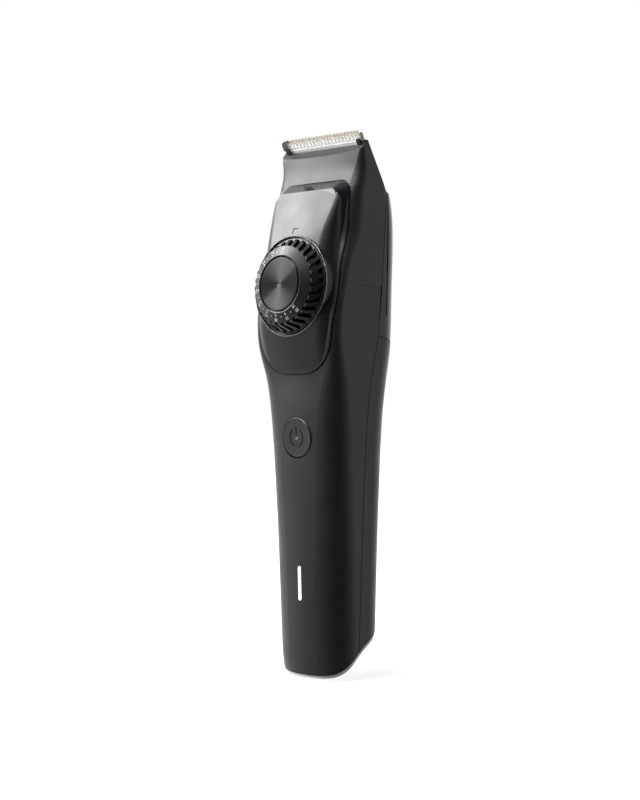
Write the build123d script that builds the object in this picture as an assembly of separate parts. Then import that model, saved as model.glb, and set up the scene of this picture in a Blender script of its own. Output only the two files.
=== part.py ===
"""Cordless beard trimmer with a length dial, built as separate pieces.

Row frame: +Z up along the handle, -Y is the front (dial side), +X the user's right when facing the dial.
All shapes are made in a design frame whose Z axis is the handle's axis, and are moved on export so
that the origin is the centre of the bounding box's underside. Millimetres and degrees.
"""
from build123d import *
import math
import os

# ---------------------------------------------------------------- driving dimensions
WALL = 1.8            # wall of the casings
GAP = 0.12            # half of the joint line between two casings
HEAD_SPLIT_Z = 152.0  # where the hollow of the handle meets that of the head
FRONT_CROWN = 0.7     # bow of the front face between its corners
REAR_CROWN = 1.0      # bow of the rear face between its corners
BEZIER_QUARTER = 0.5523

# Casing sections: height, half width, front y, rear y, front corner radius, rear corner radius
STATIONS = [
    (-5, 13.2, -10.6, 12.5, 7.8, 8.6),
    (3, 14.95, -12.45, 12.7, 8.7, 8.9),
    (12, 15.35, -13.05, 12.85, 9.1, 9.0),
    (22, 15.52, -13.43, 12.97, 9.2, 9.0),
    (33, 15.7, -13.75, 13.18, 9.1, 9.0),
    (45, 15.85, -14.1, 13.48, 8.9, 9.0),
    (58, 16.07, -14.55, 13.85, 8.6, 9.0),
    (70, 16.33, -15.0, 14.2, 8.3, 9.0),
    (80, 16.6, -15.35, 14.6, 7.9, 9.0),
    (89, 16.97, -15.55, 15.3, 6.9, 9.1),
    (97, 17.6, -15.6, 16.1, 5.0, 9.2),
    (105, 18.3, -16.7, 16.9, 3.4, 9.4),
    (115, 18.8, -16.6, 17.1, 2.6, 9.5),
    (126, 19.0, -14.6, 17.2, 2.6, 9.5),
    (134, 19.0, -12.9, 17.5, 3.4, 9.4),
    (141, 19.0, -11.1, 17.5, 5.2, 9.2),
    (150, 18.9, -9.3, 16.7, 5.0, 8.6),
    (157, 18.8, -7.3, 14.6, 3.8, 7.6),
    (164, 18.7, -5.0, 12.6, 2.8, 6.0),
    (175, 18.6, -1.2, 10.6, 1.8, 5.0),
]

# Joint line between the front and rear casings, seen from the side: (y, z)
JOINT_LOW = [(-1.9, -12), (-1.7, 8), (-0.8, 43), (0.2, 72), (1.5, 92), (3.9, 109.5)]
JOINT_TOP = (7.6, 157.0)
COVER_EDGE = [(3.9, 109.5), (22.0, 105.2)]   # lower edge of the glossy rear cover

# Slanted base: lower edge of the casings seen from the side, as (y, z)
BASE_EDGE = [(-20.0, -0.9), (-12.8, -0.4), (-10.4, -0.1), (-7.0, 1.9), (-3.6, 5.0), (-0.7, 7.7), (4.5, 11.35),
             (9.9, 14.4), (20.0, 19.4)]
BASE_ANGLE = 36.0     # slope of the flat land around the charging port
BASE_Z = 8.1          # height of that land's plane on the handle's axis, before its rise
CAP_INSET = 0.3       # shadow line between the base plate's rim and the casings
CAP_GAP = 0.12
CAP_RISE = 1.1        # depth of the base plate below the casings' edge
LAND_RISE = 2.0       # flat land around the charging port
PORT_SIZE = (9.2, 3.5)
SOCKET_SIZE = (8.9, 3.2)

# Blade set: the slanted rear face of the head
BLADE_ANGLE = 28.5
BLADE_EDGE = (-1.1, 172.4)   # (y, z) where the slanted face meets the head's top
SHOULDER = [(7.5, 156.6), (25.0, 149.2)]   # top of the rear cover, from the slanted face back
LIP = (-3.3, 169.8)          # (y, z) of the head's front lip
TOOTH_COUNT = 20
TOOTH_PITCH = 1.6
TOOTH_TIP_S = 3.5
TOOTH_ROOT_S = 0.5
BLADE_THICK = 0.9
STROKE = 0.7                 # cutter travel each way, and the crank's throw

# Dial
DIAL_CENTRE = (0, -17.7, 125.4)
DIAL_TILT = 4.5
RIB_COUNT = 30
PINION_TEETH = 10
MODULE = 0.5
PRESSURE_ANGLE = 25.0

# Power button and light
BUTTON_CENTRE = (0, -15.25, 76.5)
BUTTON_TILT = 4.0
BUTTON_RADIUS = 6.55
BUTTON_FLANGE = 7.15
LIGHT_Z = (23.8, 34.8)
LIGHT_HALF_WIDTH = 0.6

# Inside
MOTOR_Y = 4.0
MOTOR_Z = (103.0, 131.0)
BATTERY_RADIUS = 9.0
BATTERY_Z = (22.0, 87.0)
BATTERY_Y = 1.6
BOARD_Y = (-9.9, -8.9)
BOARD_Z = (14.0, 96.0)

# Export: moves the design frame to the row frame
FRAME_SHIFT = Location((0, 3.0489, 1.2683))


# ---------------------------------------------------------------- working planes
def tilted(angle):
    """Cosine and sine of an angle in degrees."""
    return math.cos(math.radians(angle)), math.sin(math.radians(angle))


cb, sb = tilted(BASE_ANGLE)
BASE = Plane(origin=(0, 0, BASE_Z), x_dir=(-1, 0, 0), z_dir=(0, sb, -cb))
cs, ss = tilted(BLADE_ANGLE)
BLADE = Plane(origin=(0, *BLADE_EDGE), x_dir=(-1, 0, 0), z_dir=(0, cs, ss))
cd, sd = tilted(DIAL_TILT)
DIAL = Plane(origin=DIAL_CENTRE, x_dir=(1, 0, 0), z_dir=(0, -cd, sd))
cp, sp = tilted(BUTTON_TILT)
BUTTON = Plane(origin=BUTTON_CENTRE, x_dir=(1, 0, 0), z_dir=(0, -cp, -sp))


def box(x, y, z):
    """A box from its three (low, high) ranges."""
    size = [b - a for a, b in (x, y, z)]
    centre = [(a + b) / 2 for a, b in (x, y, z)]
    return Pos(*centre) * Box(*size)


def tube(outer, inner, z):
    """A ring about Z between two heights."""
    ring = Pos(0, 0, (z[0] + z[1]) / 2) * Cylinder(outer, z[1] - z[0])
    if inner > 0:
        ring -= Pos(0, 0, (z[0] + z[1]) / 2) * Cylinder(inner, z[1] - z[0] + 1)
    return ring


def turned(points):
    """A solid of revolution about Z from its (radius, height) outline."""
    outline = Plane.XZ * make_face(Polyline(*points, close=True))
    return revolve(outline, Axis.Z)


def side_prism(points, half_width=40):
    """A prism along X from its outline in the side view, given as (y, z)."""
    face = make_face(Polyline(*[(0, y, z) for y, z in points], close=True))
    return extrude(face, half_width, dir=(1, 0, 0), both=True)


# ---------------------------------------------------------------- casing form
def corner(start, start_dir, end, end_dir, size, z):
    """A smooth quarter turn between two points with given directions."""
    reach = BEZIER_QUARTER * size
    return Bezier(
        (*start, z),
        (start[0] + reach * start_dir[0], start[1] + reach * start_dir[1], z),
        (end[0] - reach * end_dir[0], end[1] - reach * end_dir[1], z),
        (*end, z),
    )


def crowned_end(x, crown):
    """Direction in which a face of that bow leaves its end at x."""
    turn = 2 * math.atan2(crown, x)
    return math.cos(turn), math.sin(turn)


def section(z, half_width, front, rear, front_radius, rear_radius, inset):
    """One closed section of the casing at height z, set in from the outside."""
    w, f, r = half_width - inset, front + inset, rear - inset
    a, b = max(front_radius - inset, 0.9), max(rear_radius - inset, 0.9)
    xf, xr, fy, ry = w - a, w - b, f + FRONT_CROWN, r - REAR_CROWN
    ft, rt = crowned_end(xf, FRONT_CROWN), crowned_end(xr, REAR_CROWN)
    edges = [
        ThreePointArc((-xf, fy, z), (0, f, z), (xf, fy, z)),
        corner((xf, fy), ft, (w, fy + a), (0, 1), a, z),
        Line((w, fy + a, z), (w, ry - b, z)),
        corner((w, ry - b), (0, 1), (xr, ry), (-rt[0], rt[1]), b, z),
        ThreePointArc((xr, ry, z), (0, r, z), (-xr, ry, z)),
        corner((-xr, ry), (-rt[0], -rt[1]), (-w, ry - b), (0, -1), b, z),
        Line((-w, ry - b, z), (-w, fy + a, z)),
        corner((-w, fy + a), (0, -1), (-xf, fy), (ft[0], -ft[1]), a, z),
    ]
    return make_face(edges)


def casing_form(inset=0.0, overrun=0.0):
    """The whole outer form, or the same form set in by a wall and longer at both ends."""
    first, last = STATIONS[0], STATIONS[-1]
    stations = [(first[0] - overrun, *first[1:]), *STATIONS[1:-1], (last[0] + overrun, *last[1:])]
    return loft([section(*s, inset) for s in stations])


def cavity_forms():
    """The hollow inside the casings, as a handle part and a head part."""
    handle = casing_form(WALL, 1.0) & box((-40, 40), (-40, 40), (-20, HEAD_SPLIT_Z))
    head = loft([section(*s, WALL) for s in STATIONS[-5:]])
    return handle, head & box((-40, 40), (-40, 40), (HEAD_SPLIT_Z - 0.5, 200))


def base_region(shift):
    """Everything below the casings' lower edge, moved outward by shift."""
    y_shift, z_shift = shift * sb, -shift * cb
    low = [(0, y + y_shift, z + z_shift) for y, z in BASE_EDGE]
    start, end = low[0], low[-1]
    edges = [
        Spline(*low),
        Line(end, (0, end[1], -40)),
        Line((0, end[1], -40), (0, start[1], -40)),
        Line((0, start[1], -40), start),
    ]
    return extrude(make_face(edges), 40, dir=(1, 0, 0), both=True)


def blade_box(x, s, n):
    """A box in the blade plane: across, along towards the tooth tips, and outward."""
    return BLADE * box(x, s, n)


def head_cut():
    """What is taken off the form for the slanted rear face, its shoulder and the head's open top."""
    lip_slope = (BLADE_EDGE[1] - LIP[1]) / (BLADE_EDGE[0] - LIP[0])
    front = (-40, LIP[1] + lip_slope * (-40 - LIP[0]))
    return side_prism([front, BLADE_EDGE, SHOULDER[0], SHOULDER[1], (60, SHOULDER[1][1]), (60, 220), (-40, 220)])


def shoulder_wall():
    """Everything above the underside of the rear cover's top wall."""
    (y0, z0), (y1, z1) = SHOULDER
    return side_prism([(y0 + 0.6, z0 - WALL), (y1, z1 - WALL), (y1, 220), (y0 + 0.6, 220)])


def joint_region(shift):
    """Everything behind the casings' joint line, moved back by shift."""
    low = [(0, y + shift, z) for y, z in JOINT_LOW]
    top = (0, JOINT_TOP[0] + shift, JOINT_TOP[1])
    edges = [
        Spline(*low),
        Line(low[-1], top),
        Line(top, (0, 50, top[2])),
        Line((0, 50, top[2]), (0, 50, low[0][2])),
        Line((0, 50, low[0][2]), low[0]),
    ]
    return extrude(make_face(edges), 40, dir=(1, 0, 0), both=True)


def cover_region(shift):
    """Everything above the rear cover's lower edge, moved up by shift."""
    (y0, z0), (y1, z1) = COVER_EDGE
    slope = (z1 - z0) / (y1 - y0)
    low, high = (-30, z0 + slope * (-30 - y0) + shift), (50, z0 + slope * (50 - y0) + shift)
    return side_prism([low, high, (50, 200), (-30, 200)])


# ---------------------------------------------------------------- dial panel
PANEL_TOP = 159.3
PANEL_CORNERS = [(15.0, 97.0, 13.0), (17.8, 120.0, 60.0), (15.9, PANEL_TOP, 5.0)]
POD_CORNERS = [(14.0, 98.0, 12.0), (16.9, 120.0, 60.0), (14.4, 156.4, 4.2)]
# Pod sections: height, half width, front y, corner radius
POD_STATIONS = [
    (92, 17.6, -14.6, 7.0),
    (97, 17.6, -15.6, 7.0),
    (103, 17.6, -17.6, 7.0),
    (110, 17.5, -19.0, 6.2),
    (118, 17.3, -18.9, 5.6),
    (126, 16.9, -18.2, 5.4),
    (134, 16.0, -17.4, 5.2),
    (141, 15.4, -16.0, 4.4),
    (149, 15.2, -13.3, 2.6),
    (157, 15.2, -10.3, 1.6),
    (164, 15.2, -7.6, 1.4),
]
BEVEL_PLANE = (-7.0, PANEL_TOP)
BEVEL_TILT = 5.6
BEVEL_DEPTH = 3.1
FLANGE = 0.3          # thickness of the panel's foot on the casing
MARK_DEPTH = 0.3


def panel_outline(corners, grow=0.0):
    """An outline seen from the front, as a flat face, from its right-hand corners and their radii."""
    points = [(x, z) for x, z, _ in corners]
    points += [(-x, z) for x, z in reversed(points)]
    face = make_face(Polyline(*points, close=True))
    for x, z, radius in corners:
        ends = [v for v in face.vertices() if abs(abs(v.X) - x) < 0.01 and abs(v.Y - z) < 0.01]
        face = fillet(ends, radius)
    return offset(face, grow) if grow else face


def panel_prism(corners, grow=0.0):
    """The outline pushed forward from the mid plane."""
    return extrude(Plane.XZ * panel_outline(corners, grow), 30, dir=(0, -1, 0))


def pod_section(z, w, front, radius):
    """One D-shaped section of the panel's raised part."""
    x, y = w - radius, front + FRONT_CROWN
    t = crowned_end(x, FRONT_CROWN)
    edges = [
        ThreePointArc((-x, y, z), (0, front, z), (x, y, z)),
        corner((x, y), t, (w, y + radius), (0, 1), radius, z),
        Line((w, y + radius, z), (w, 8, z)),
        Line((w, 8, z), (-w, 8, z)),
        Line((-w, 8, z), (-w, y + radius, z)),
        corner((-w, y + radius), (0, -1), (-x, y), (t[0], -t[1]), radius, z),
    ]
    return make_face(edges)


def bevel_prism():
    """The outline drafted inwards as it comes forward, which bevels the panel's top and upper sides."""
    c, s = tilted(BEVEL_TILT)
    plane = Plane(origin=(0, *BEVEL_PLANE), x_dir=(1, 0, 0), z_dir=(0, -c, s))
    face = plane * (Pos(0, -PANEL_TOP) * panel_outline(PANEL_CORNERS))
    return extrude(face, BEVEL_DEPTH, dir=(0, -c, s), taper=45) + extrude(face, 8, dir=(0, c, -s))


def dial_panel(outer):
    """Raised panel that carries the dial, and the glossy bevel that frames its upper end."""
    pod = loft([pod_section(*s) for s in POD_STATIONS]) & panel_prism(POD_CORNERS)
    bevel = bevel_prism() & panel_prism(PANEL_CORNERS)
    flange = casing_form(-FLANGE) & panel_prism(PANEL_CORNERS)
    trim = bevel - casing_form(-FLANGE) - pod
    panel = pod + flange - outer
    panel -= DIAL * tube(15.85, 0, (-1.3, 12))
    panel -= collar_groove()
    panel -= DIAL * tube(3.3, 0, (-12, 0))
    mark = box((-1.45, -1.1), (-25, -8), (142.4, 144.2)) + box((-1.45, 0.65), (-25, -8), (143.8, 144.2))
    return panel - (mark - Pos(0, MARK_DEPTH, 0) * pod), trim


def collar_groove():
    """Ring-shaped groove that the collar round the knob sits in."""
    return DIAL * (tube(16.45, 15.85, (-2.95, 12)))


# ---------------------------------------------------------------- casings
def front_shell(outer, hollows, cut):
    """Front casing, which also forms the head's walls."""
    shell = outer - cut - joint_region(-GAP) - base_region(0)
    for hollow in hollows:
        shell -= hollow
    groove = panel_prism(PANEL_CORNERS, 0.38) - panel_prism(PANEL_CORNERS, 0.02)
    shell -= groove - casing_form(0.5, 1.0)
    shell -= blade_box((-17.1, 17.1), (-9, 5), (-1.75, 1))
    shell -= DIAL * tube(3.3, 0, (-14, 0))
    shell -= collar_groove()
    shell -= BUTTON * tube(BUTTON_RADIUS + 0.22, 0, (-8, 4))
    shell -= light_slot(0.06)
    for side in (-1, 1):
        shell -= comb_pocket(side)
    return shell


def comb_pocket(side):
    """Shallow recess on the side where the comb's skirt sits."""
    outline = [(-7.6, 125.4), (-7.6, 117.0), (1.6, 112.2), (12.0, 112.2), (12.0, 125.4)]
    face = make_face(Polyline(*[(side * 18.72, y, z) for y, z in outline], close=True))
    return extrude(face, 3, dir=(side, 0, 0))


def light_slot(grow):
    """Stadium-shaped prism through the front wall for the light."""
    half, low, high = LIGHT_HALF_WIDTH + grow, LIGHT_Z[0] - grow, LIGHT_Z[1] + grow
    slot = SlotOverall(high - low, 2 * half, rotation=90)
    return Pos(0, -16, (low + high) / 2) * extrude(Plane.XZ * slot, 4.9, dir=(0, 1, 0))


def light_guide(outer):
    """Clear bar that shows the charge light, flush with the front."""
    return light_slot(0) & outer


def track(depth_x, width, z_low, z_high, side):
    """The comb track, a narrow groove on one side of the rear cover."""
    low, high = (7.5, 116.0), (8.4, 157.5)
    lean = (high[0] - low[0]) / (high[1] - low[1])
    ends = [(low[0] + lean * (z - low[1]), z) for z in (z_low, z_high)]
    half = width / 2
    outline = [(y + k * half, z) for (y, z), k in zip(ends, (-1, -1))]
    outline += [(y + half, z) for y, z in reversed(ends)]
    face = make_face(Polyline(*[(side * depth_x, y, z) for y, z in outline], close=True))
    return extrude(face, 12, dir=(side, 0, 0))


def rear_parts(outer, hollows, cut):
    """Handle's rear casing, and the glossy cover behind the head."""
    back = outer - cut
    for hollow in hollows:
        back -= hollow - shoulder_wall()
    back &= joint_region(GAP)
    rear_shell = back - cover_region(-GAP) - base_region(0)
    rear_cover = back & cover_region(GAP)
    for side in (-1, 1):
        rear_cover -= track(18.2, 0.6, 116.0, 170.0, side)
        rear_cover -= DIAL * box(sorted((side * 12, side * 18.3)), (-6.3, 10.4), (-25.9, -24.3))
    return rear_shell, rear_cover


def bottom_cap():
    """Curved base plate with the charging port and a plug ring inside the casings."""
    rim = casing_form(CAP_INSET, 1.0) & box((-40, 40), (-40, 40), (-20, 40))
    plate = rim & (base_region(CAP_GAP) - base_region(CAP_RISE))
    ring = casing_form(WALL + 0.15, 1.0) & (base_region(-3.0) - base_region(CAP_GAP))
    ring -= casing_form(WALL + 1.3, 1.0)
    land = BASE * box((-7.5, 7.5), (-3.6, 5.6), (-3.0, LAND_RISE))
    cap = plate + ring + land
    slot = SlotOverall(PORT_SIZE[0], PORT_SIZE[1])
    port = BASE * (Pos(0, 1, -10) * extrude(slot, 20))
    return cap - port


# ---------------------------------------------------------------- dial
def knob_rib():
    """One slanted grip rib on the knob's flank."""
    low = Plane.XY.offset(-0.2) * Pos(13.9, 0) * Rectangle(2.6, 1.45)
    high = Plane.XY.offset(3.6) * Rot(0, 0, -9) * Pos(12.3, 0) * Rectangle(1.35, 1.05)
    return loft([low, high])


def dial_knob():
    """Knurled knob with a sloped number ring."""
    knob = turned([
        (2.1, -0.9), (15.2, -0.9), (15.4, -0.7), (15.4, -0.2), (13.2, 0.1), (11.9, 3.0), (12.45, 3.45),
        (12.5, 3.75), (9.35, 5.15), (9.15, 5.1), (9.15, 4.3), (8.95, 4.3), (8.95, 3.2), (2.1, 3.2),
    ])
    rib = knob_rib()
    ribs = [Rot(0, 0, i * 360 / RIB_COUNT) * rib for i in range(RIB_COUNT)]
    return DIAL * (knob + ribs)


def dial_disc():
    """Spun metal insert in the knob's face."""
    return DIAL * turned([
        (0, 3.25), (8.7, 3.25), (8.7, 4.95), (8.45, 5.25), (8.0, 5.3), (0, 5.05),
    ])


def dial_collar():
    """Black collar around the knob, let into the panel."""
    return DIAL * turned([(15.9, -2.9), (16.4, -2.9), (16.4, -0.12), (15.9, -0.12)])


def dial_bezel():
    """Thin bright ring on top of the collar."""
    return DIAL * turned([(16.1, -0.1), (16.4, -0.1), (16.4, 0.1), (16.3, 0.2), (16.2, 0.2), (16.1, 0.1)])


def involute_tooth(teeth, module, angle, tip_factor, root_factor, backlash):
    """Outline points of one pinion tooth about +X, from root to root."""
    pitch = teeth * module / 2
    base = pitch * math.cos(math.radians(angle))
    tip, root = pitch + tip_factor * module, pitch - root_factor * module

    def flank(radius):
        roll = math.sqrt(max((radius / base) ** 2 - 1, 0))
        return roll - math.atan(roll)

    half = (math.pi * module / 2 - backlash) / (2 * pitch) + flank(pitch)
    radii = [max(base, root) + i * (tip - max(base, root)) / 5 for i in range(6)]
    upper = [(r * math.cos(half - flank(r)), r * math.sin(half - flank(r))) for r in radii]
    upper.insert(0, (root * math.cos(half), root * math.sin(half)))
    return [(x, -y) for x, y in upper] + [(x, y) for x, y in reversed(upper)]


def dial_shaft():
    """Stub shaft with the pinion that moves the comb carriage."""
    tooth = involute_tooth(PINION_TEETH, MODULE, PRESSURE_ANGLE, 0.8, 1.0, 0.14)
    outline = []
    for i in range(PINION_TEETH):
        turn = 2 * math.pi * i / PINION_TEETH
        outline += [
            (x * math.cos(turn) - y * math.sin(turn), x * math.sin(turn) + y * math.cos(turn))
            for x, y in tooth
        ]
    pinion = Pos(0, 0, -9.8) * extrude(make_face(Polyline(*outline, close=True)), 2.6)
    shaft = tube(1.6, 0, (-9.8, -0.9)) + tube(2.05, 0, (-0.9, 3.15)) + tube(1.2, 0, (-11.0, -9.8))
    return DIAL * (shaft + pinion)


def dial_bush():
    """Plain bearing for the dial's shaft, flanged inside the front wall."""
    return DIAL * (tube(3.2, 1.65, (-5.2, -1.5)))


def dial_seal():
    """O-ring between the knob's hub and the bush."""
    ring = Torus(2.4, 0.28)
    return DIAL * (Pos(0, 0, -1.19) * ring)


def detent_washer():
    """Waved click washer under the knob."""
    washer = tube(8.5, 6.0, (-1.27, -1.07))
    bumps = [Rot(0, 0, i * 120) * Pos(7.2, 0, -1.1) * Sphere(0.18) for i in range(3)]
    return DIAL * (washer + bumps)


# ---------------------------------------------------------------- comb carriage
def rack_outline():
    """Outline of the rack's tooth side, from bottom to top, in the dial's plane."""
    pitch = math.pi * MODULE
    slope = math.tan(math.radians(PRESSURE_ANGLE))
    tip, root = 0.7 * MODULE, 1.0 * MODULE
    half = pitch / 4 - 0.04
    line = -PINION_TEETH * MODULE / 2
    points = []
    for i in range(-9, 2):
        centre = (i + 0.5) * pitch
        points += [
            (line - root, centre - half - root * slope),
            (line + tip, centre - half + tip * slope),
            (line + tip, centre + half - tip * slope),
            (line - root, centre + half + root * slope),
        ]
    return points


def comb_carriage():
    """Sliding frame moved by the dial; its lugs show in the side tracks and carry the comb."""
    teeth = rack_outline()
    low, high = teeth[0][1], teeth[-1][1]
    strip = teeth + [(-5.2, high), (-5.2, low)]
    rack = Pos(0, 0, -9.6) * extrude(make_face(Polyline(*strip, close=True)), 2.2)
    frame = box((-13.0, 13.0), (low - 1.6, high + 1.4), (-9.6, -8.0))
    frame -= box((-5.2, 5.0), (low, high), (-11, -5))
    for side in (-1, 1):
        frame += box(sorted((side * 12.0, side * 16.4)), (-6.0, -0.5), (-9.6, -8.0))
        frame += box(sorted((side * 15.3, side * 16.4)), (-6.0, -0.5), (-25.4, -8.0))
        frame += box(sorted((side * 15.3, side * 17.95)), (-5.5, -0.5), (-25.4, -24.75))
    return DIAL * (rack + frame)


# ---------------------------------------------------------------- blade set
def tooth_row(count, root, tip, root_half, tip_half, thick, base_n):
    """A row of tapered teeth in the blade plane, centred on the head."""
    first = -(count - 1) / 2 * TOOTH_PITCH
    outline = [(-root_half, root), (root_half, root), (tip_half, tip - 0.15), (0.5 * tip_half, tip),
               (-0.5 * tip_half, tip), (-tip_half, tip - 0.15)]
    face = make_face(Polyline(*outline, close=True))
    tooth = extrude(face, thick)
    return [BLADE * (Pos(first + i * TOOTH_PITCH, 0, base_n) * tooth) for i in range(count)]


def fixed_blade():
    """Steel blade with the outer teeth, lying on the head's slanted face."""
    points = [(17.0, -17.2), (17.0, -9.5), (17.7, -6.0), (17.7, -0.5), (16.6, 0.2), (16.6, 3.4),
              (15.9, 3.4), (15.9, TOOTH_ROOT_S)]
    points += [(-x, s) for x, s in reversed(points)]
    face = make_face(Polyline(*points, close=True))
    plate = BLADE * (Pos(0, 0, 0.04) * extrude(face, BLADE_THICK))
    for side in (-1, 1):
        wing = Pos(1.3, 0, BLADE_THICK / 2) * Box(2.6, 3.5, BLADE_THICK)
        wing = fillet(wing.edges().filter_by(Axis.Z).group_by(Axis.X)[-1], 1.0)
        wing = wing if side > 0 else mirror(wing, Plane.YZ)
        plate += BLADE * (Pos(side * 16.3, 2.0, 0.04) * Rot(0, side * 52, 0) * wing)
    blade = plate + tooth_row(TOOTH_COUNT, TOOTH_ROOT_S - 0.3, TOOTH_TIP_S, 0.52, 0.3, BLADE_THICK, 0.04)
    for x in (-11, 11):
        blade -= blade_at(x, -15.3) * tube(0.9, 0, (-1, 3))
    return blade


def blade_at(x, s):
    """The blade plane moved to a point on it."""
    return BLADE * Pos(x, s, 0)


def moving_blade():
    """Ceramic cutter that slides on the inner face of the fixed blade."""
    points = [(-14.4, -9.0), (14.4, -9.0), (14.4, -1.2), (15.6, -0.3), (15.6, 0.9), (-15.6, 0.9),
              (-15.6, -0.3), (-14.4, -1.2)]
    plate = BLADE * (Pos(0, 0, -1.24) * extrude(make_face(Polyline(*points, close=True)), 1.2))
    relief = blade_box((-16, 16), (0.25, 3.0), (-1.3, -0.99))
    teeth = tooth_row(TOOTH_COUNT, 0.6, 2.4, 0.66, 0.12, 1.2, -1.24)
    blade = plate + teeth - relief
    for x in (-6, 6):
        blade -= blade_at(x, -6.2) * tube(0.85, 0, (-3, 1))
    return blade


def drive_yoke():
    """Plastic yoke that carries the cutter and straddles the crank pin."""
    plate = blade_box((-9, 9), (-13.0, -5.0), (-3.2, -1.28))
    stem = box((-4, 4), (1.9, 3.9), (148.6, 160.2))
    bridge = box((-4.8, 4.8), (2.3, 5.7), (147.6, 149.6))
    yoke = plate + stem + bridge
    for side in (-1, 1):
        yoke += box(sorted((side * 2.9, side * 4.8)), (2.3, 5.7), (140.6, 148))
        yoke += blade_at(side * 6, -6.2) * tube(0.78, 0, (-1.4, -0.35))
    return yoke


def head_frame():
    """Black carrier that holds the blades in the head's slanted opening."""
    profile = [(-17.2, -0.02), (-17.2, -4.2), (-7.0, -2.6), (-2.5, -1.6), (-0.5, -1.5), (-0.5, -0.02)]
    points = [(BLADE_EDGE[0] - ss * s + cs * n, BLADE_EDGE[1] + cs * s + ss * n) for s, n in profile]
    frame = side_prism(points, 16.3)
    frame -= blade_box((-15.3, 15.3), (-13.4, 5), (-9, 1))
    frame -= blade_box((-17.5, 17.5), (-2.2, 5), (-1.4, 1))
    frame -= blade_box((-5.4, 5.4), (-20, 5), (-9, -1.4))
    for x in (-11, 11):
        frame -= blade_at(x, -15.3) * tube(0.62, 0, (-3.6, 1))
    for side in (-1, 1):
        frame += blade_box(sorted((side * 15.4, side * 16.9)), (-0.62, 1.2), (-2.2, -1.45))
    return frame


def cutter_spring():
    """Bent wire spring that presses the yoke and cutter against the fixed blade."""
    route = [(-12.0, -15.2, -5.6), (-12.0, -9.0, -5.6), (-7.0, -6.0, -3.62), (7.0, -6.0, -3.62),
             (12.0, -9.0, -5.6), (12.0, -15.2, -5.6)]
    path = BLADE * FilletPolyline(*route, radius=1.6)
    wire = sweep(Plane(origin=path @ 0, z_dir=path % 0) * Circle(0.35), path=path)
    return wire


def screw(length, head_radius, head_height, radius, slot_width):
    """Cross-slot screw along +Z, with the underside of its head at z = 0."""
    body = tube(head_radius, 0, (0, head_height)) + tube(radius, 0, (-length, 0))
    depth = head_height * 0.55
    for turn in (0, 90):
        body -= Rot(0, 0, turn) * box(
            (-head_radius * 0.7, head_radius * 0.7), (-slot_width / 2, slot_width / 2),
            (head_height - depth, head_height + 1))
    return body


def blade_screws():
    """Two screws that hold the fixed blade to its carrier."""
    one = screw(3.4, 1.5, 0.7, 0.6, 0.35)
    return [blade_at(x, -15.3) * (Pos(0, 0, BLADE_THICK + 0.06) * one) for x in (-11, 11)]


# ---------------------------------------------------------------- motor
def motor_can():
    """Flat-sided steel can of the drive motor."""
    low, high = MOTOR_Z
    can = tube(10.0, 0, (low + 1.6, high)) & box((-10.5, 10.5), (-7.7, 7.7), (low, high + 1))
    can = chamfer(can.edges().group_by(Axis.Z)[-1], 0.5)
    can -= tube(3.1, 0, (high - 1.2, high + 1))
    can -= tube(1.05, 0, (low, high + 1))
    for x in (-7, 7):
        can -= Pos(x, 0, 0) * tube(0.75, 0, (high - 2.5, high + 1))
    return Pos(0, MOTOR_Y, 0) * can


def motor_end_cap():
    """Plastic end cap with the brush terminals."""
    low = MOTOR_Z[0]
    cap = tube(9.6, 0, (low, low + 1.55)) & box((-10, 10), (-7.3, 7.3), (low - 1, low + 3))
    cap -= tube(1.05, 0, (low - 1, low + 3))
    for x in (-6, 6):
        cap += box((x - 1.1, x + 1.1), (-0.2, 0.2), (low - 2.4, low + 0.1))
    return Pos(0, MOTOR_Y, 0) * cap


def motor_bearing():
    """Bronze sleeve bearing in the motor's nose."""
    return Pos(0, MOTOR_Y, 0) * tube(3.05, 1.05, (MOTOR_Z[1] - 1.15, MOTOR_Z[1] + 0.3))


def motor_shaft():
    """Steel shaft through the motor."""
    return Pos(0, MOTOR_Y, 0) * tube(1.0, 0, (MOTOR_Z[0] + 0.2, 137.6))


def crank_cam():
    """Balanced cam with the eccentric crank pin, pressed on the shaft."""
    cam = tube(3.8, 1.02, (132.2, 137.6)) + tube(3.8, 0, (137.65, 139.2))
    cam -= Pos(0, 0, 0) * box((-5, 5), (2.6, 5), (134.5, 140))
    cam += Pos(STROKE, 0, 0) * tube(1.0, 0, (139.2, 146.8))
    return Pos(0, MOTOR_Y, 0) * (cam + tube(3.8, 1.02, (137.55, 137.7)))


def motor_bracket():
    """Steel plate that ties the motor's nose to the casing."""
    low, high = MOTOR_Z[1] + 0.05, MOTOR_Z[1] + 1.05
    plate = box((-14.5, 14.5), (-5.0, 6.0), (low, high))
    plate -= tube(3.2, 0, (low - 1, high + 1))
    for x in (-7, 7):
        plate -= Pos(x, 0, 0) * tube(0.9, 0, (low - 1, high + 1))
    return Pos(0, MOTOR_Y, 0) * plate


def motor_screws():
    """Two screws through the bracket into the motor's nose."""
    one = screw(2.6, 1.5, 0.8, 0.7, 0.35)
    return [Pos(x, MOTOR_Y, MOTOR_Z[1] + 1.08) * one for x in (-7, 7)]


# ---------------------------------------------------------------- handle inside
def chassis():
    """Tray between the cell and the board, with end walls and a seat under the motor."""
    tray = box((-10.5, 10.5), (-8.6, -7.8), (20, 100))
    lower = box((-9.5, 9.5), (-8.6, 7.5), (19.6, 21.0))
    middle = box((-10.5, 10.5), (-8.6, 10.0), (88.4, 90.2))
    seat = box((-11.5, 11.5), (-8.6, 12.0), (97.5, 99.5))
    body = tray + lower + middle + seat
    for x in (-8, 8):
        body -= Pos(x * 0.75, -8.2, 24.0) * Rot(90, 0, 0) * Cylinder(0.62, 4)
    body -= Pos(-6, -8.2, 92.5) * Rot(90, 0, 0) * Cylinder(0.62, 4)
    return body


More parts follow.
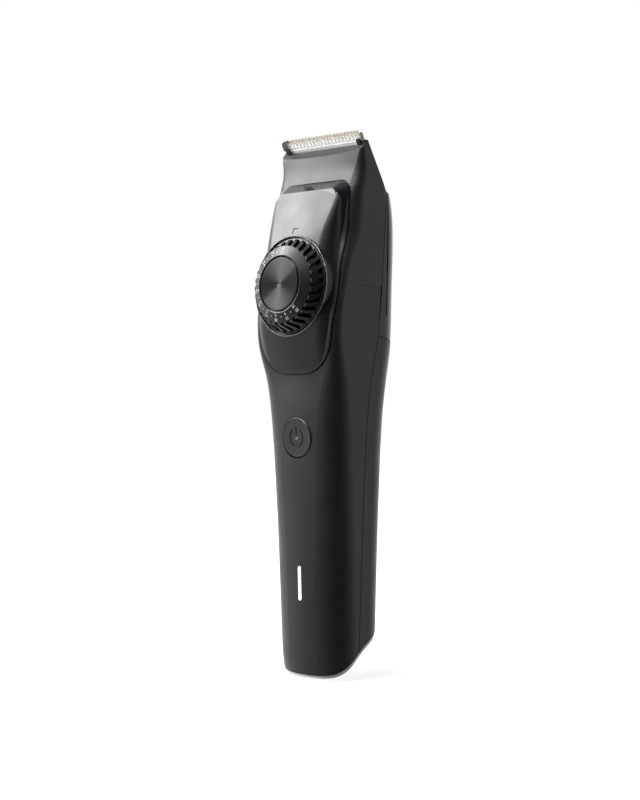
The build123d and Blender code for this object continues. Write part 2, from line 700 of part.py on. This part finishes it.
def battery_cell():
    """Cylindrical lithium cell in its sleeve."""
    low, high = BATTERY_Z
    cell = Pos(0, BATTERY_Y, (low + high) / 2) * Cylinder(BATTERY_RADIUS, high - low)
    cell = fillet(cell.edges().filter_by(GeomType.CIRCLE), 0.6)
    return cell + Pos(0, BATTERY_Y, 0) * tube(3.2, 0, (high - 0.1, high + 0.5))


def battery_tabs():
    """Nickel strips at the two ends of the cell."""
    low, high = BATTERY_Z
    top = box((-2, 2), (-7.2, BATTERY_Y + 3), (high + 0.55, high + 0.75))
    base = box((-2, 2), (-7.2, BATTERY_Y + 3), (low - 0.3, low - 0.1))
    return [top, base]


def main_board():
    """Circuit board along the front of the handle, with its larger parts."""
    board = box((-7.5, 7.5), BOARD_Y, BOARD_Z)
    for x in (-8, 8):
        board -= Pos(x * 0.75, -9.4, 24.0) * Rot(90, 0, 0) * Cylinder(0.75, 4)
    board -= Pos(-6, -9.4, 92.5) * Rot(90, 0, 0) * Cylinder(0.75, 4)
    front = BOARD_Y[0]
    chips = [((-3.5, 1.5), (50, 55)), ((2.5, 5.5), (60, 62)), ((-5.5, -3.0), (41, 44)), ((-2, 2), (84, 87.5)),
             ((2.6, 6.0), (41.5, 43.5))]
    for x, z in chips:
        board += box(x, (front - 0.9, front + 0.05), z)
    return board


def board_screws():
    """Three screws that hold the board on the chassis."""
    one = screw(2.2, 1.2, 0.6, 0.55, 0.3)
    places = [(-6, 24.0), (6, 24.0), (-6, 92.5)]
    return [Pos(x, BOARD_Y[0] - 0.03, z) * Rot(90, 0, 0) * one for x, z in places]


def switch_body():
    """Tactile switch under the power button."""
    body = box((-2.25, 2.25), (BOARD_Y[0] - 0.95, BOARD_Y[0] - 0.02), (74.3, 78.8))
    return body - Pos(0, BOARD_Y[0] - 0.6, 76.5) * Rot(90, 0, 0) * Cylinder(1.2, 1)


def switch_plunger():
    """Plunger of the tactile switch."""
    return Pos(0, -11.42, 76.5) * Rot(90, 0, 0) * Cylinder(1.1, 1.7)


def power_button():
    """Round button with the power symbol sunk in its face."""
    cap = turned([
        (0, -2.9), (BUTTON_FLANGE, -2.9), (BUTTON_FLANGE, -2.45), (BUTTON_RADIUS, -2.45),
        (BUTTON_RADIUS, -0.35),
        (BUTTON_RADIUS - 0.3, -0.05), (5.4, -0.12), (0, -0.2),
    ])
    arc = tube(3.1, 2.68, (-0.45, 1)) - Rot(0, 0, 90) * wedge(32, 4)
    bar = box((-0.21, 0.21), (1.2, 3.5), (-0.45, 1))
    return BUTTON * (cap - arc - bar)


def wedge(half_angle, radius):
    """A wedge about +X that opens by half_angle each way."""
    y = radius * math.tan(math.radians(half_angle))
    face = make_face(Polyline((0, 0), (radius, -y), (radius, y), close=True))
    return Pos(0, 0, -2) * extrude(face, 6)


def button_gasket():
    """Rubber ring behind the wall, around the button's flange."""
    return BUTTON * tube(8.7, 7.7, (-3.9, -3.2))


def led_chip():
    """Light source behind the clear bar."""
    return box((-1.4, 1.4), (BOARD_Y[0] - 0.9, BOARD_Y[0] - 0.02), (27.5, 31.0))


def charge_board():
    """Small board that carries the charging socket."""
    board = BASE * box((-6.5, 6.5), (-3.2, 5.2), (-8.3, -7.3))
    return board


def charge_socket():
    """Metal receptacle behind the port in the base."""
    outer_slot = Pos(0, 1, -7.25) * extrude(SlotOverall(*SOCKET_SIZE), 8.5)
    inner_slot = Pos(0, 1, -6.4) * extrude(SlotOverall(SOCKET_SIZE[0] - 0.7, SOCKET_SIZE[1] - 0.7), 9)
    tongue = Pos(0, 1, 0) * box((-3.3, 3.3), (-0.35, 0.35), (-6.6, -0.2))
    return BASE * (outer_slot - inner_slot + tongue)


def port_seal():
    """Rubber ring around the socket, behind the base plate."""
    outer_slot = Pos(0, 1, -5.2) * extrude(SlotOverall(12.4, 6.4), 2.0)
    inner_slot = Pos(0, 1, -6) * extrude(SlotOverall(SOCKET_SIZE[0] + 0.1, SOCKET_SIZE[1] + 0.1), 5)
    return BASE * (outer_slot - inner_slot)


def lead(points, radius):
    """An insulated wire along straight runs joined by tangent arcs."""
    path = FilletPolyline(*points, radius=1.2)
    return sweep(Plane(origin=path @ 0, z_dir=path % 0) * Circle(radius), path=path)


def motor_leads():
    """Two wires from the motor's terminals to the board."""
    wires = []
    for side in (-1, 1):
        wires.append(lead([
            (side * 6.0, MOTOR_Y - 0.9, 101.9), (side * 8.5, -2.5, 101.2), (side * 9.6, -9.6, 101.2),
            (side * 6.8, -9.4, 96.7)], 0.45))
    return wires


def write(name, shape):
    """Writes one node; a list of solids becomes one node of separate solids."""
    solids = [s for item in (shape if isinstance(shape, (list, tuple)) else [shape]) for s in item.solids()]
    moved = [FRAME_SHIFT * s for s in solids]
    whole = moved[0] if len(moved) == 1 else Compound(children=moved)
    export_step(whole, f"parts/{name}.step")


os.makedirs("parts", exist_ok=True)

outer_form = casing_form()
hollows = cavity_forms()
head_opening = head_cut()

panel, panel_trim = dial_panel(outer_form)
rear_shell, rear_cover = rear_parts(outer_form, hollows, head_opening)
NODES = {
    "front_shell": front_shell(outer_form, hollows, head_opening),
    "rear_shell": rear_shell,
    "rear_cover": rear_cover,
    "dial_panel": panel,
    "panel_trim": panel_trim,
    "bottom_cap": bottom_cap(),
    "light_guide": light_guide(outer_form),
    "power_button": power_button(),
    "button_gasket": button_gasket(),
    "dial_knob": dial_knob(),
    "dial_disc": dial_disc(),
    "dial_collar": dial_collar(),
    "dial_bezel": dial_bezel(),
    "dial_shaft": dial_shaft(),
    "dial_bush": dial_bush(),
    "dial_seal": dial_seal(),
    "detent_washer": detent_washer(),
    "comb_carriage": comb_carriage(),
    "fixed_blade": fixed_blade(),
    "moving_blade": moving_blade(),
    "drive_yoke": drive_yoke(),
    "head_frame": head_frame(),
    "cutter_spring": cutter_spring(),
    "blade_screws": blade_screws(),
    "motor_can": motor_can(),
    "motor_end_cap": motor_end_cap(),
    "motor_bearing": motor_bearing(),
    "motor_shaft": motor_shaft(),
    "crank_cam": crank_cam(),
    "motor_bracket": motor_bracket(),
    "motor_screws": motor_screws(),
    "motor_leads": motor_leads(),
    "chassis": chassis(),
    "battery_cell": battery_cell(),
    "battery_tabs": battery_tabs(),
    "main_board": main_board(),
    "board_screws": board_screws(),
    "switch_body": switch_body(),
    "switch_plunger": switch_plunger(),
    "led_chip": led_chip(),
    "charge_board": charge_board(),
    "charge_socket": charge_socket(),
    "port_seal": port_seal(),
}
for node_name, node_shape in NODES.items():
    write(node_name, node_shape)
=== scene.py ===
"""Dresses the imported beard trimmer: camera, materials, the dial's printed scale and the studio."""
import math

import bmesh
import bpy
from mathutils import Matrix, Vector


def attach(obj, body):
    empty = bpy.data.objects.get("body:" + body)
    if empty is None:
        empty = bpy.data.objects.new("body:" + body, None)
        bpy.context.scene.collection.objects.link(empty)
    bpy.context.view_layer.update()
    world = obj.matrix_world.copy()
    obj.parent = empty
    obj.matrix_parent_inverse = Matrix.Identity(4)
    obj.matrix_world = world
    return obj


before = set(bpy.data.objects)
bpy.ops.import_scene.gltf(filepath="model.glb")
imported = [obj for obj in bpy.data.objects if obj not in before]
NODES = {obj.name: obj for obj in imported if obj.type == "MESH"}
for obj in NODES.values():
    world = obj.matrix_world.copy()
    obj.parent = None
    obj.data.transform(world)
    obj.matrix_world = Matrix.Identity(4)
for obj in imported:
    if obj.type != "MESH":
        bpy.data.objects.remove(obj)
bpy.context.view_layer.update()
SCENE = bpy.context.scene
MM = 0.001

# ---------------------------------------------------------------- camera
CAMERA_AT = (0.3906, -0.39875, 0.08991)
CAMERA_AZIMUTH = 44.49    # degrees round from straight in front of the object, towards +X
CAMERA_PITCH = 90.0       # level
CAMERA_LENS = 76.5
SENSOR_WIDTH = 36.0
CLIP_START = 0.01

camera_data = bpy.data.cameras.new("view")
camera_data.lens = CAMERA_LENS
camera_data.sensor_width = SENSOR_WIDTH
camera_data.clip_start = CLIP_START
camera = bpy.data.objects.new("view", camera_data)
camera.location = CAMERA_AT
camera.rotation_euler = (math.radians(CAMERA_PITCH), 0, math.radians(CAMERA_AZIMUTH))
SCENE.collection.objects.link(camera)
SCENE.camera = camera
SCENE.view_settings.view_transform = "Standard"

# ---------------------------------------------------------------- dial's place
SHIFT = Vector((0, 3.0489, 1.2683)) * MM    # from the CAD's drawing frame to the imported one
DIAL_CENTRE = Vector((0, -17.7, 125.4)) * MM + SHIFT
DIAL_TILT = math.radians(4.5)


def dial_matrix():
    """Dial's own frame: x right, y up the face, z out of it."""
    z = Vector((0, -math.cos(DIAL_TILT), math.sin(DIAL_TILT)))
    x = Vector((1, 0, 0))
    y = z.cross(x)
    turn = Matrix((x, y, z)).transposed().to_4x4()
    return Matrix.Translation(DIAL_CENTRE) @ turn


# ---------------------------------------------------------------- node helpers
def add_node(tree, kind, inputs=None, **settings):
    """New node, each input set to a value or linked to another node's output."""
    made = tree.nodes.new(kind)
    for key, value in settings.items():
        setattr(made, key, value)
    for key, value in (inputs or {}).items():
        if isinstance(value, bpy.types.NodeSocket):
            tree.links.new(value, made.inputs[key])
        else:
            made.inputs[key].default_value = value
    return made


class Shader:
    """Builds one node material."""

    def __init__(self, name, base, rough, metal=0.0, **sockets):
        self.material = bpy.data.materials.new(name)
        self.material.use_nodes = True
        self.tree = self.material.node_tree
        self.bsdf = self.tree.nodes["Principled BSDF"]
        self.set("Base Color", (*base, 1))
        self.set("Roughness", rough)
        self.set("Metallic", metal)
        for key, value in sockets.items():
            self.set(key.replace("_", " "), value)
        self.place = self.node("ShaderNodeTexCoord").outputs["Object"]

    def set(self, socket, value):
        self.bsdf.inputs[socket].default_value = value

    def node(self, kind, inputs=None, **settings):
        return add_node(self.tree, kind, inputs, **settings)

    def link(self, output, socket):
        self.tree.links.new(output, self.bsdf.inputs[socket])

    def vector(self, operation, *inputs):
        return self.node("ShaderNodeVectorMath", dict(enumerate(inputs)), operation=operation)

    def noise(self, size, stretch=(1, 1, 1), detail=2.0, rough=0.5):
        """Noise with features of about that size in millimetres, longer where stretch is below 1."""
        point = self.node("ShaderNodeMapping", {
            "Vector": self.place,
            "Scale": tuple(s / MM for s in stretch),
        }).outputs["Vector"]
        return self.node("ShaderNodeTexNoise", {
            "Vector": point,
            "Scale": 1.0 / size,
            "Detail": detail,
            "Roughness": rough,
        }).outputs["Fac"]

    def remap(self, value, band, out):
        """Carries a value from one pair of limits to another."""
        return self.node("ShaderNodeMapRange", {
            "Value": value,
            "From Min": band[0],
            "From Max": band[1],
            "To Min": out[0],
            "To Max": out[1],
        }).outputs["Result"]

    def mix(self, value, colour_a, colour_b):
        made = self.node("ShaderNodeMix", data_type="RGBA")
        self.tree.links.new(value, made.inputs["Factor"])
        made.inputs["A"].default_value = (*colour_a, 1)
        made.inputs["B"].default_value = (*colour_b, 1)
        return made.outputs["Result"]

    def bump(self, height, strength, depth):
        """Surface relief of a depth in millimetres."""
        made = self.node("ShaderNodeBump", {"Height": height, "Strength": strength, "Distance": depth * MM})
        self.link(made.outputs["Normal"], "Normal")


NOISE_BAND = (0.3, 0.7)       # where most of a noise texture's values lie
LINE_BAND = (0.25, 0.75)      # the same for the rougher noise of tooling marks
GLOSS_PATCH = 9.0             # sizes and depths in millimetres
TONE_PATCH = 0.5
GRAIN_DEPTH = 0.012
LINE_DEPTH = 0.01
LINE_GLOSS = (0.75, 1.3)      # times the metal's roughness


def tones(base, tint):
    """The base colour made a little darker and a little lighter."""
    darker = tuple(c * (1 - tint) for c in base)
    lighter = tuple(min(1, c * (1 + tint)) for c in base)
    return darker, lighter


def plastic(name, base, rough, grain=0.16, grain_strength=0.25, spread=0.05, tint=0.12, **sockets):
    """Moulded or ground surface: fine grain, slow changes of gloss and small ones of tone."""
    s = Shader(name, base, rough, **sockets)
    slow = s.noise(GLOSS_PATCH, detail=3.0)
    s.link(s.remap(slow, NOISE_BAND, (rough - spread, rough + spread)), "Roughness")
    s.link(s.mix(s.noise(TONE_PATCH, detail=4.0), *tones(base, tint)), "Base Color")
    s.bump(s.noise(grain, detail=3.0, rough=0.6), grain_strength, GRAIN_DEPTH)
    return s.material


def metal(name, base, rough, stretch=(1, 1, 1), size=0.12, strength=0.2, tint=0.1):
    """Metal with fine tooling marks, drawn out along one axis by stretch."""
    s = Shader(name, base, rough, 1.0)
    lines = s.noise(size, stretch, detail=4.0, rough=0.65)
    s.link(s.remap(lines, LINE_BAND, [rough * gloss for gloss in LINE_GLOSS]), "Roughness")
    s.link(s.mix(lines, *tones(base, tint)), "Base Color")
    s.bump(lines, strength, LINE_DEPTH)
    return s.material


# ---------------------------------------------------------------- spun disc and light bar
DISC_COLOUR = (0.10, 0.10, 0.104)
DISC_ROUGHNESS = 0.30
DISC_GLOSS = (0.38, 0.50)
DISC_TONES = ((0.032, 0.032, 0.034), (0.068, 0.068, 0.071))
DISC_SHEEN = 0.97
DISC_SHEEN_TURN = 0.25    # of a full turn: the sheen lies across the marks
MARK_SCALE = 14.0         # coarsest marks to a millimetre of radius
MARK_STRENGTH = 0.25
MARK_DEPTH = 0.006

LIGHT_COLOUR = (0.9, 0.92, 0.95)
LIGHT_GLOW = (0.93, 0.97, 1.0)
LIGHT_ROUGHNESS = 0.3
LIGHT_PATCH = 3.0
LIGHT_STRENGTH = (1.6, 2.0)


def disc_metal():
    """Spun aluminium, dark anodised: wedges of sheen and fine concentric marks."""
    s = Shader("disc_spun", DISC_COLOUR, DISC_ROUGHNESS, 1.0,
               Anisotropic=DISC_SHEEN, Anisotropic_Rotation=DISC_SHEEN_TURN)
    tangent = s.node("ShaderNodeTangent", direction_type="RADIAL", axis="Y")
    s.link(tangent.outputs["Tangent"], "Tangent")
    centred = s.vector("SUBTRACT", s.place, tuple(DIAL_CENTRE)).outputs["Vector"]
    flat = s.vector("MULTIPLY", centred, (1 / MM, 0, 1 / MM)).outputs["Vector"]
    radius = s.vector("LENGTH", flat).outputs["Value"]
    marks = s.node("ShaderNodeTexNoise", {
        "W": radius,
        "Scale": MARK_SCALE,
        "Detail": 4.0,
        "Roughness": 0.7,
    }, noise_dimensions="1D").outputs["Fac"]
    s.link(s.remap(marks, NOISE_BAND, DISC_GLOSS), "Roughness")
    s.link(s.mix(marks, *DISC_TONES), "Base Color")
    s.bump(marks, MARK_STRENGTH, MARK_DEPTH)
    return s.material


def light_material():
    """Frosted light bar, lit from behind, slightly uneven."""
    s = Shader("light_lit", LIGHT_COLOUR, LIGHT_ROUGHNESS)
    s.set("Emission Color", (*LIGHT_GLOW, 1))
    s.link(s.remap(s.noise(LIGHT_PATCH), NOISE_BAND, LIGHT_STRENGTH), "Emission Strength")
    return s.material


# ---------------------------------------------------------------- materials
# name, linear colour, roughness, then what differs from the usual finish
MATERIALS = {
    "casing": plastic("casing_satin", (0.0135, 0.0137, 0.0142), 0.40),
    "panel": plastic("panel_satin", (0.0100, 0.0102, 0.0107), 0.33, grain_strength=0.15),
    "trim": plastic("trim_gloss", (0.006, 0.009, 0.014), 0.12, grain_strength=0.02, spread=0.02),
    "cover": plastic("cover_gloss", (0.030, 0.036, 0.043), 0.13, grain_strength=0.03, spread=0.03),
    "button": plastic("button_satin", (0.020, 0.0202, 0.0207), 0.42),
    "knob": plastic("knob_satin", (0.010, 0.010, 0.011), 0.28, grain_strength=0.12),
    "ink": plastic("scale_ink", (0.90, 0.90, 0.88), 0.55, grain_strength=0.1, tint=0.03),
    "rubber": plastic("rubber_matt", (0.012, 0.012, 0.012), 0.75, grain_strength=0.3),
    "base": plastic("base_silver", (0.78, 0.75, 0.70), 0.38, tint=0.04),
    "dark": plastic("carrier_black", (0.008, 0.008, 0.008), 0.35),
    "chassis": plastic("chassis_dark", (0.05, 0.05, 0.052), 0.5),
    "acetal": plastic("acetal_natural", (0.72, 0.71, 0.67), 0.35, grain_strength=0.1,
                      Subsurface_Weight=0.1),
    "ceramic": plastic("cutter_ceramic", (0.92, 0.91, 0.89), 0.30, grain=0.08, grain_strength=0.06,
                       spread=0.03, tint=0.02),
    "sleeve": plastic("cell_sleeve", (0.02, 0.10, 0.26), 0.2, grain_strength=0.05),
    "board": plastic("board_mask", (0.008, 0.10, 0.035), 0.3, grain=0.3, grain_strength=0.1),
    "blade": plastic("blade_steel", (0.80, 0.75, 0.67), 0.36, grain_strength=0.05, tint=0.04,
                     Metallic=0.6),
    "steel": metal("plated_steel", (0.58, 0.58, 0.58), 0.32, stretch=(1, 1, 0.1)),
    "spring": metal("spring_steel", (0.5, 0.5, 0.5), 0.25, stretch=(0.1, 1, 1)),
    "brass": metal("sintered_brass", (0.62, 0.45, 0.2), 0.4),
    "bezel": metal("bezel_dark_chrome", (0.30, 0.285, 0.26), 0.16, strength=0.03),
    "disc": disc_metal(),
    "light": light_material(),
}

LOOKS = {
    "casing": ["front_shell", "rear_shell"],
    "panel": ["dial_panel"],
    "trim": ["panel_trim"],
    "cover": ["rear_cover"],
    "button": ["power_button"],
    "knob": ["dial_knob", "dial_collar"],
    "rubber": ["button_gasket", "dial_seal", "port_seal", "motor_leads"],
    "base": ["bottom_cap"],
    "dark": ["head_frame", "comb_carriage", "motor_end_cap", "switch_plunger"],
    "chassis": ["chassis"],
    "acetal": ["dial_shaft", "dial_bush", "drive_yoke", "crank_cam"],
    "ceramic": ["moving_blade"],
    "sleeve": ["battery_cell"],
    "board": ["main_board", "charge_board"],
    "blade": ["fixed_blade"],
    "steel": ["motor_can", "motor_bracket", "switch_body", "blade_screws", "motor_screws", "board_screws",
              "battery_tabs", "charge_socket"],
    "spring": ["cutter_spring", "detent_washer", "motor_shaft"],
    "brass": ["motor_bearing"],
    "bezel": ["dial_bezel"],
    "disc": ["dial_disc"],
    "light": ["light_guide", "led_chip"],
}
for look, names in LOOKS.items():
    for name in names:
        NODES[name].data.materials.clear()
        NODES[name].data.materials.append(MATERIALS[look])

# ---------------------------------------------------------------- dial scale
SCALE_FIRST = 90.0        # angle of the first pair of numbers, under the index mark
SCALE_STEP = 24.75        # from one pair of numbers to the next
SCALE_PAIRS = 10
CONE_TOP = (9.35, 5.15)   # radius and height of the number ring's inner edge, in millimetres
CONE_SLOPE = 1.4 / 3.15
INNER_RADIUS = 9.62       # foot of the numbers 1 to 10
OUTER_RADIUS = 11.08      # foot of the numbers 11 to 20
INK_LIFT = 0.02
DIGIT_HEIGHT = 1.05
DIGIT_WIDTH = 0.92        # times the font's own width
DIGIT_CURVE_STEPS = 3
DOT_CENTRE = 10.65
DOT_RADIUS = 0.17
DOT_CORNERS = 12


def on_cone(radius, angle):
    """Point of the number ring in the dial's frame, just above its surface, in millimetres."""
    height = CONE_TOP[1] - CONE_SLOPE * (radius - CONE_TOP[0]) + INK_LIFT
    turn = math.radians(angle)
    return Vector((radius * math.cos(turn), radius * math.sin(turn), height))


def number_mesh(text):
    """Flat mesh of a number, centred, standing on y = 0 and one unit high."""
    curve = bpy.data.curves.new("digits", "FONT")
    curve.body = text
    curve.size = 1.0
    curve.resolution_u = DIGIT_CURVE_STEPS
    curve.align_x = "CENTER"
    holder = bpy.data.objects.new("digits", curve)
    SCENE.collection.objects.link(holder)
    bpy.context.view_layer.update()
    mesh = bpy.data.meshes.new_from_object(holder.evaluated_get(bpy.context.evaluated_depsgraph_get()))
    bpy.data.objects.remove(holder)
    heights = [v.co.y for v in mesh.vertices]
    low, high = min(heights), max(heights)
    for v in mesh.vertices:
        v.co = Vector((v.co.x / (high - low), (v.co.y - low) / (high - low), 0))
    return mesh


def dot_outline():
    """Corners of a round dot about the origin, in millimetres."""
    turns = [2 * math.pi * k / DOT_CORNERS for k in range(DOT_CORNERS)]
    return [(DOT_RADIUS * math.cos(turn), DOT_RADIUS * math.sin(turn)) for turn in turns]


def dial_scale():
    """Printed numbers and dots on the dial's sloped ring, as one thin mesh."""
    whole = bmesh.new()
    place = dial_matrix()

    def add(points, faces, radius, angle):
        """Lays flat points on the ring, their x along it and their y outwards from a radius."""
        made = []
        for x, y in points:
            r = radius + y * math.cos(math.atan(CONE_SLOPE))
            made.append(whole.verts.new(place @ (on_cone(r, angle - math.degrees(x / r)) * MM)))
        for face in faces:
            whole.faces.new([made[i] for i in face])

    for i in range(SCALE_PAIRS):
        angle = SCALE_FIRST + i * SCALE_STEP
        for number, radius in ((i + 1, INNER_RADIUS), (i + 1 + SCALE_PAIRS, OUTER_RADIUS)):
            mesh = number_mesh(str(number))
            points = [(v.co.x * DIGIT_HEIGHT * DIGIT_WIDTH, v.co.y * DIGIT_HEIGHT) for v in mesh.vertices]
            add(points, [tuple(p.vertices) for p in mesh.polygons], radius, angle)
            bpy.data.meshes.remove(mesh)
        if i < SCALE_PAIRS - 1:
            add(dot_outline(), [tuple(range(DOT_CORNERS))], DOT_CENTRE, angle + SCALE_STEP / 2)
    whole.normal_update()
    data = bpy.data.meshes.new("dial_scale")
    whole.to_mesh(data)
    whole.free()
    made = bpy.data.objects.new("dial_scale", data)
    SCENE.collection.objects.link(made)
    skin = made.modifiers.new("ink", "SOLIDIFY")
    skin.thickness = INK_LIFT * MM
    skin.offset = 0
    data.materials.append(MATERIALS["ink"])
    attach(made, "dial")


dial_scale()

# ---------------------------------------------------------------- studio
FLOOR_Z = -0.0005
FLOOR_RADIUS = 3.0
FLOOR_SEGMENTS = 96
FLOOR_TONE = (0.45, 0.45, 0.45)
GLOW_RADIUS = (0.05, 0.42)     # the floor's glow grows between these distances from the object
GLOW_STRENGTH = (0.62, 1.0)
WHITE = (1, 1, 1, 1)
ROOM_TONES = (0.05, 0.62, 1.4)    # on the camera's side, level with the object, behind it
LIT_POINT = (0, 0, 0.12)
SOFTBOXES = [
    # name, place, size in metres, power in watts
    ("key", (-0.72, -0.50, 0.62), (0.60, 0.55), 12.0),
    ("top", (-0.05, -0.50, 0.95), (0.35, 0.35), 7.0),
]


def pale_floor():
    """Pale floor disc whose own glow fades the horizon into the background."""
    mesh = bmesh.new()
    bmesh.ops.create_circle(mesh, cap_ends=True, segments=FLOOR_SEGMENTS, radius=FLOOR_RADIUS)
    bmesh.ops.translate(mesh, verts=mesh.verts, vec=(0, 0, FLOOR_Z))
    data = bpy.data.meshes.new("studio_floor")
    mesh.to_mesh(data)
    mesh.free()
    made = bpy.data.objects.new("studio_floor", data)
    made.visible_glossy = False
    made.visible_diffuse = False
    SCENE.collection.objects.link(made)
    s = Shader("floor_pale", FLOOR_TONE, 1.0)
    s.set("Specular IOR Level", 0.0)
    s.set("Emission Color", WHITE)
    away = s.vector("LENGTH", s.place).outputs["Value"]
    s.link(s.remap(away, GLOW_RADIUS, GLOW_STRENGTH), "Emission Strength")
    made.data.materials.append(s.material)


def softbox(name, at, size, power):
    """Rectangular area light that faces the middle of the object."""
    data = bpy.data.lights.new(name, "AREA")
    data.shape = "RECTANGLE"
    data.size, data.size_y = size
    data.energy = power
    made = bpy.data.objects.new(name, data)
    made.location = at
    aim = Vector(LIT_POINT) - Vector(at)
    made.rotation_euler = aim.to_track_quat("-Z", "Y").to_euler()
    SCENE.collection.objects.link(made)


def soft_room():
    """White background to the camera; for all else dim in front of the object and bright behind it."""
    world = bpy.data.worlds.new("studio")
    world.use_nodes = True
    tree = world.node_tree
    ways = add_node(tree, "ShaderNodeTexCoord").outputs["Generated"]
    turn = math.radians(CAMERA_AZIMUTH)
    away = (-math.sin(turn), math.cos(turn), 0.0)
    facing = add_node(tree, "ShaderNodeVectorMath", {0: ways, 1: away}, operation="DOT_PRODUCT")
    scaled = add_node(tree, "ShaderNodeMapRange", {"Value": facing.outputs["Value"], "From Min": -1.0})
    ramp = add_node(tree, "ShaderNodeValToRGB", {"Fac": scaled.outputs["Result"]})
    ramp.color_ramp.interpolation = "EASE"
    ramp.color_ramp.elements.new(0.5)
    for stop, tone in zip(ramp.color_ramp.elements, ROOM_TONES):
        stop.color = (tone, tone, tone, 1)
    room = add_node(tree, "ShaderNodeBackground", {"Color": ramp.outputs["Color"]})
    plain = add_node(tree, "ShaderNodeBackground", {"Color": WHITE})
    path = add_node(tree, "ShaderNodeLightPath")
    mixed = add_node(tree, "ShaderNodeMixShader", {
        "Fac": path.outputs["Is Camera Ray"],
        1: room.outputs["Background"],
        2: plain.outputs["Background"],
    })
    tree.links.new(mixed.outputs["Shader"], tree.nodes["World Output"].inputs["Surface"])
    SCENE.world = world


pale_floor()
soft_room()
for box in SOFTBOXES:
    softbox(*box)
